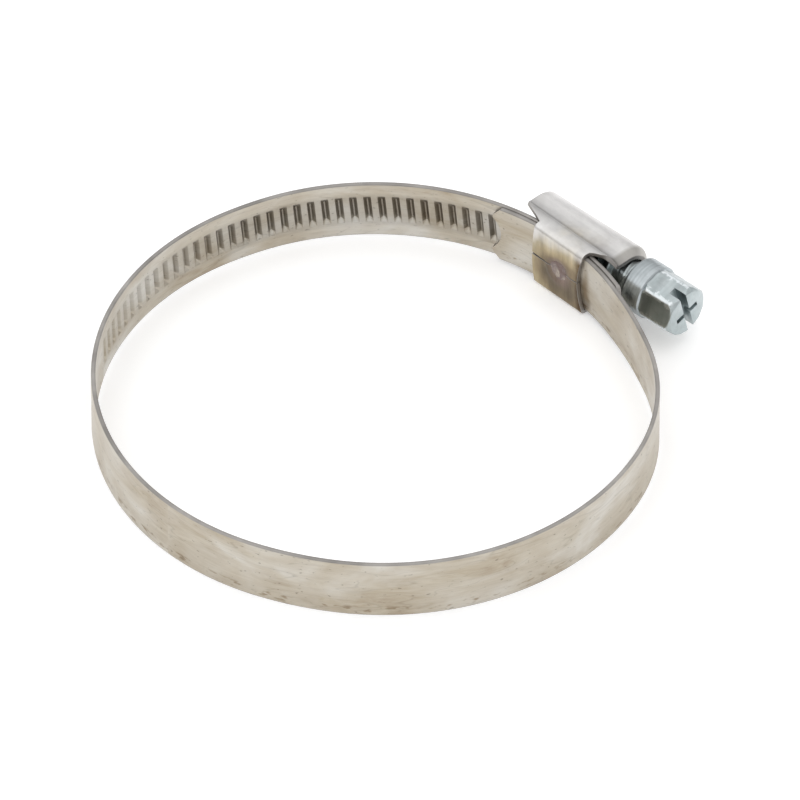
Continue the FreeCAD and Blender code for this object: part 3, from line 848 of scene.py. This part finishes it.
def build_housing(materials):
    """Wrapped sheet of the housing, open along the seam in the middle of the belly."""
    half = housing_profile()
    lower = half[::-1][1:].copy()
    lower[:, 1] *= -1
    lower[:, 3] *= -1
    profile = np.concatenate([half, lower])
    near_lip = [0.0, 0.025, 0.05, 0.065, 0.08, 0.095, 0.12, 0.15, 0.2, 0.24, 0.28]
    fractions = np.array(near_lip + list(np.linspace(0.32, 0.98, 34)) + [1.0])
    skins = []
    for out in (0.0, SHEET):
        rows = []
        for row in profile:
            head, tip = housing_ends(row[0], row[1])
            y = head + (tip - head) * fractions
            points = housing_point(row, y, out)
            if abs(row[1]) < 0.06:
                points[..., 2] += math.copysign(0.1, row[1]) * np.clip((y - 1.5) / 3.0, 0.0, 1.0)
            if row[0] < BELLY_X + 0.01 and out:
                points[..., 0] += belly_marks(points) * np.clip((4.4 - np.abs(points[..., 2])) / 0.8, 0, 1)
            rows.append(points)
        skins.append(np.array(rows))
    count, across = len(profile), len(fractions)
    vertices = np.concatenate([skins[0].reshape(-1, 3), skins[1].reshape(-1, 3)])
    inner = grid_faces(count, across, False)
    shift = count * across
    faces = [f[::-1] for f in inner] + [tuple(v + shift for v in f) for f in inner]
    loop = [k * across for k in range(count)]
    loop += [(count - 1) * across + k for k in range(1, across)]
    loop += [k * across + across - 1 for k in range(count - 2, -1, -1)]
    loop += list(range(across - 2, 0, -1))
    slots = [0] * len(faces) + [1] * len(loop)
    faces += [(one, other, other + shift, one + shift) for one, other in zip(loop, loop[1:] + loop[:1])]
    made = mesh_object("housing_shell", vertices, faces, materials, slots, angle=50.0)
    bevel(made, 0.13, 3, 50.0)
    applied(made, 50.0)
    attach(made, "housing")
    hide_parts("housing")


WELD_RADIUS = 1.42


def build_weld(material):
    """Rippled nugget in the dish of the belly."""
    rings, spokes = 12, 48
    face_x = BELLY_X - SHEET
    vertices = []
    for depth in (0, 1):
        for ring in range(1, rings + 1):
            for spoke in range(spokes):
                angle = 2 * math.pi * spoke / spokes
                uneven = 1 + 0.05 * math.sin(3 * angle + 1) + 0.03 * math.sin(7 * angle)
                reach = WELD_RADIUS * ring / rings * uneven
                y, z = reach * math.cos(angle) - 0.1, reach * math.sin(angle)
                mark = float(belly_marks(np.array([0.0, y, z])))
                ripple = 0.02 * math.cos(2 * math.pi * ring / 4.0)
                crown = 0.05 * (1 - (ring / rings) ** 4) + 0.015
                x = face_x + mark - (crown + ripple * (1 - ring / rings)) if depth == 0 else face_x + 0.35
                vertices.append((x, y, z))
        x = vertices[depth * rings * spokes][0]
        vertices.append((x, -0.1, 0.0))
        if depth == 0:
            first_count = len(vertices)
    faces = []
    for depth in (0, 1):
        base = depth * first_count
        centre = base + rings * spokes
        for spoke in range(spokes):
            after = (spoke + 1) % spokes
            faces.append((centre, base + spoke, base + after))
            for ring in range(rings - 1):
                here, there = base + ring * spokes, base + (ring + 1) * spokes
                faces.append((here + spoke, there + spoke, there + after, here + after))
    rim = (rings - 1) * spokes
    for spoke in range(spokes):
        after = (spoke + 1) % spokes
        faces.append((rim + spoke, rim + after, first_count + rim + after, first_count + rim + spoke))
    made = mesh_object("weld_nugget_skin", vertices, faces, [material])
    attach(made, "housing")
    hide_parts("spot_weld")


# ---- Screw ----

THREAD_ROOT = 2.45
THREAD_FROM = -10.6
THREAD_TO = 5.2
THREAD_FADE = 0.8
NECK_FROM = -11.4
TIP_TO = 6.2
TIP_RADIUS = 2.1
TIP_CHAMFER = 0.45
COLLAR_RADIUS = 3.75
COLLAR_FROM = -14.1
COLLAR_TO = -10.95
HEX_FROM = -19.45
HEX_HALF = 6.7 / 2
HEX_TURNED = 3.82
HEAD_TURN = math.radians(76.0)
SLOT_WIDTH = 1.1
SLOT_DEPTH = 1.95
CROSS_WIDTH = 0.75
CROSS_LENGTH = 3.9
CROSS_DEPTH = 1.2
CUT_PAST = 1.0          # how far a cutting tool starts beyond the end face


def on_screw(local):
    """Points (radial x, along, z) about the screw's axis, placed in the frame."""
    c, s = math.cos(SCREW_TILT), math.sin(SCREW_TILT)
    x, y = SCREW_OUT + local[..., 0], local[..., 1]
    return np.stack([x * c - y * s + THREAD_CENTRE[0], x * s + y * c, local[..., 2]], -1)


def polar(name, stations, radius_at, spokes, materials, angle=38.0):
    """Closed body round the screw's axis; radius_at(y, angle) at each station along it."""
    angles = np.arange(spokes) * 2 * math.pi / spokes
    y = np.asarray(stations, float)
    radius = np.array([[radius_at(one, a) for a in angles] for one in y])
    along = np.repeat(y[:, None], spokes, 1)
    local = np.stack([radius * np.cos(angles), along, radius * np.sin(angles)], -1)
    vertices = on_screw(local).reshape(-1, 3)
    faces = grid_faces(len(y), spokes, True)
    faces.append(tuple(range(spokes)))
    faces.append(tuple((len(y) - 1) * spokes + k for k in range(spokes - 1, -1, -1)))
    return mesh_object(name, vertices, faces, materials, angle=angle)


def between(value, marks):
    """Straight-line value through (position, value) marks."""
    return float(np.interp(value, [m[0] for m in marks], [m[1] for m in marks]))


def build_shank(material):
    """Threaded shank: stations follow the helix, so the crests stay sharp; low under the dome's lip."""
    crest = math.radians(TAIL_TIP - math.degrees(SCREW_TILT)) * (THREADED_RADIUS + PITCH_OFFSET)
    flank = [(0.08, THREAD_RADIUS), (0.095, THREAD_RADIUS - 0.05), (0.19, THREAD_ROOT + 0.05),
             (0.21, THREAD_ROOT), (0.5, THREAD_ROOT)]
    shape = [(-phase, radius) for phase, radius in reversed(flank)] + flank
    neck = [(-10.0, 2.95), (-9.75, THREAD_ROOT + 0.02), (-7.9, THREAD_ROOT + 0.02), (-7.5, THREAD_RADIUS)]
    tip = [(THREAD_TO, 9.0), (THREAD_TO + 0.1, TIP_RADIUS), (TIP_TO - TIP_CHAMFER, TIP_RADIUS),
           (TIP_TO, TIP_RADIUS - TIP_CHAMFER)]
    phases = [-0.5, -0.35, -0.21, -0.19, -0.14, -0.095, -0.08, 0.0, 0.08, 0.095, 0.14, 0.19, 0.21, 0.35]
    spokes = 72
    first, last = NECK_FROM, TIP_TO
    turns = range(int((first - crest) / LEAD) - 2, int((last - crest) / LEAD) + 3)
    stations = [number + phase for number in turns for phase in phases]
    rows = []
    for station in stations:
        row = []
        for spoke in range(spokes):
            share = spoke / spokes
            along = crest + (station + 0.5 - share) * LEAD
            phase = (station + 0.5) % 1.0 - 0.5
            radius = between(phase, shape)
            inside = min(along - THREAD_FROM, THREAD_TO - along) / THREAD_FADE
            radius = THREAD_ROOT + (radius - THREAD_ROOT) * min(max(inside, 0.0), 1.0)
            radius = min(radius, between(along, neck), between(along, tip))
            along = min(max(along, first), last)
            angle = 2 * math.pi * share
            row.append((radius * math.cos(angle), along, radius * math.sin(angle)))
        rows.append(row)
    vertices = on_screw(np.array(rows)).reshape(-1, 3)
    faces = []
    for k in range(len(stations) - 1):
        for spoke in range(spokes):
            here, there = k * spokes + spoke, (k + 1) * spokes + spoke
            turn_back = (len(phases) + 1) * spokes if spoke == spokes - 1 else 0
            if not turn_back or k >= len(phases):
                faces.append((here, there, there + 1 - turn_back, here + 1 - turn_back))
    made = mesh_object("screw_shank", vertices, faces, [material])
    tidy_shank(made)
    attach(made, "screw")


def tidy_shank(thing):
    """Removes the flattened runs beyond the ends and closes the two ends."""
    work = bmesh.new()
    work.from_mesh(thing.data)
    bmesh.ops.remove_doubles(work, verts=work.verts, dist=0.002 * MM)
    bmesh.ops.dissolve_degenerate(work, dist=0.002 * MM, edges=work.edges)
    flat = [f for f in work.faces if f.calc_area() < 1e-14]
    bmesh.ops.delete(work, geom=flat, context="FACES")
    bmesh.ops.holes_fill(work, edges=[e for e in work.edges if e.is_boundary], sides=0)
    bmesh.ops.recalc_face_normals(work, faces=work.faces)
    work.to_mesh(thing.data)
    work.free()
    thing.data.shade_smooth()
    thing.data.set_sharp_from_angle(angle=math.radians(38))


def cutter(name, size, centre):
    """Box in the screw's own frame, turned with the head."""
    ends = (-1, 1)
    corners = np.array([(x, y, z) for x in ends for y in ends for z in ends]) * np.array(size) / 2 + centre
    c, s = math.cos(HEAD_TURN), math.sin(HEAD_TURN)
    turned = np.stack([corners[:, 0] * c + corners[:, 2] * s, corners[:, 1],
                       -corners[:, 0] * s + corners[:, 2] * c], -1)
    faces = [(0, 1, 3, 2), (4, 6, 7, 5), (0, 4, 5, 1), (2, 3, 7, 6), (0, 2, 6, 4), (1, 5, 7, 3)]
    return mesh_object(name, on_screw(turned), faces, [])


def build_head(collar_material, hex_material):
    """Turned collar, and hexagon with its slots."""
    collar_marks = [(COLLAR_FROM - 0.2, 3.1), (COLLAR_FROM, 3.42), (COLLAR_FROM + 0.06, 3.58),
                    (COLLAR_FROM + 0.22, COLLAR_RADIUS), (COLLAR_TO - 0.25, COLLAR_RADIUS),
                    (COLLAR_TO - 0.08, 3.68), (COLLAR_TO, 3.5), (COLLAR_TO + 0.45, 2.9),
                    (COLLAR_TO + 0.5, 2.4)]
    turned_band = np.linspace(COLLAR_FROM + 0.3, COLLAR_TO - 0.3, 26)
    stations = sorted({m[0] for m in collar_marks} | set(turned_band))

    def collar_radius(y, _):
        groove = 0.012 * math.sin(y * 9.0) * math.sin(y * 23.0 + 1.0)
        return between(y, collar_marks) + (groove if turned_band[0] < y < turned_band[-1] else 0.0)

    collar = polar("screw_collar", stations, collar_radius, 128, [collar_material])
    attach(collar, "screw")

    turned_marks = [(HEX_FROM, 3.2), (HEX_FROM + 0.1, 3.35), (HEX_FROM + 0.5, 3.7),
                    (HEX_FROM + 0.75, HEX_TURNED), (COLLAR_FROM - 0.4, HEX_TURNED),
                    (COLLAR_FROM - 0.05, 3.66), (COLLAR_FROM + 0.3, 3.4)]
    stations = np.concatenate([np.linspace(HEX_FROM, HEX_FROM + 1.0, 12),
                               np.linspace(HEX_FROM + 1.3, COLLAR_FROM - 0.9, 8),
                               np.linspace(COLLAR_FROM - 0.7, COLLAR_FROM + 0.3, 8)])

    def hex_radius(y, angle):
        turn = (angle + HEAD_TURN) % (math.pi / 3) - math.pi / 6
        flare = 0.08 * min(max(0.0, (y - (COLLAR_FROM - 0.3)) / 0.3), 1.0) ** 2
        flat = (HEX_HALF + flare) / math.cos(abs(turn) - math.pi / 6)
        worn = 0.05 * (1 + math.sin(7 * y + 5 * angle) * math.sin(13 * y - 11 * angle + 1))
        return min(flat, between(y, turned_marks) - worn)

    head = polar("screw_hexagon", stations, hex_radius, 240, [hex_material], 24.0)
    tools = [cutter(name, (x, depth + CUT_PAST, z), (0.0, HEX_FROM + (depth - CUT_PAST) / 2, 0.0))
             for name, x, depth, z in (("slot_tool", 9.0, SLOT_DEPTH, SLOT_WIDTH),
                                       ("cross_tool", CROSS_WIDTH, CROSS_DEPTH, CROSS_LENGTH))]
    for tool in tools:
        cut = head.modifiers.new("cut", "BOOLEAN")
        cut.operation = "DIFFERENCE"
        cut.solver = "EXACT"
        cut.object = tool
    applied(head, 24.0)
    for tool in tools:
        bpy.data.objects.remove(tool)
    bevel(head, 0.07, 2, 35.0)
    applied(head, 24.0)
    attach(head, "screw")
    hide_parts("screw")


# ---- Studio ----

def build_floor(material):
    """Wide floor just under the housing, so that it passes for the background."""
    reach = 6000.0
    gap = 0.02
    z = -(WIDTH / 2 + SIDE_GAP + SHEET) - gap
    count = 9
    marks = np.linspace(-reach, reach, count)
    vertices = [(x, y, z) for x in marks for y in marks]
    mesh = bpy.data.meshes.new("floor")
    mesh.from_pydata((np.array(vertices) * MM).tolist(), [], grid_faces(count, count, False))
    mesh.materials.append(material)
    floor = linked("floor", mesh)


def build_light():
    """Sky that brightens upward, and one soft key lamp."""
    world = bpy.data.worlds.new("studio")
    bpy.context.scene.world = world
    world.use_nodes = True
    tree = world.node_tree
    direction = node(tree, "TexCoord", {}).outputs["Generated"]
    height = maths(tree, "MULTIPLY_ADD", axes(tree, direction)[2], 0.5, 0.5)
    sky = ramp(tree, height, [(0.0, 0.60), (0.5, 0.46), (0.66, 0.66),
                              (0.82, 0.88), (0.94, 1.0)])
    fill(tree, tree.nodes["Background"], {"Color": sky, "Strength": 1.2})
    light = bpy.data.lights.new("key", "AREA")
    light.shape = "DISK"
    light.size = 0.45
    light.energy = 0.22
    place = Vector((-0.42, 0.10, 0.40))
    lamp = linked("key", light)
    lamp.location = place
    lamp.rotation_euler = (-place).to_track_quat("-Z", "Y").to_euler()


def build_camera():
    """Long lens, 43 degrees above the ring, turned 46 degrees from its +X."""
    aim = Vector((1.313, -1.213, 0.0)) * MM
    away = math.radians(45.85)
    elevation = math.radians(43.125)
    distance = 2734.0 * MM
    level = Vector((math.cos(away), math.sin(away), 0.0))
    back = -level * math.cos(elevation) + Vector((0, 0, math.sin(elevation)))
    data = bpy.data.cameras.new("camera")
    data.sensor_width = 36.0
    data.lens = 945.4
    data.shift_x = 0.0254
    data.shift_y = -0.0034
    data.clip_start = 0.1
    data.clip_end = 50.0
    camera = linked("camera", data)
    camera.location = aim + back * distance
    camera.rotation_euler = (-back).to_track_quat("-Z", "Y").to_euler()
    bpy.context.scene.camera = camera


build_camera()
build_light()
build_floor(floor_material())
edge = edge_material()
build_band([band_material(), edge])
build_housing([housing_material(), edge])
build_weld(weld_material())
turned_zinc = zinc_material("zinc_turned", 2600, (0.41, 0.45, 0.465), (0.53, 0.57, 0.59))
rough_zinc = zinc_material("zinc_plate", 500, (0.42, 0.48, 0.49), (0.55, 0.60, 0.61),
                           worn_colour=(0.80, 0.84, 0.86))
build_head(turned_zinc, rough_zinc)
build_shank(rough_zinc)
bpy.context.scene.view_settings.view_transform = "Standard"
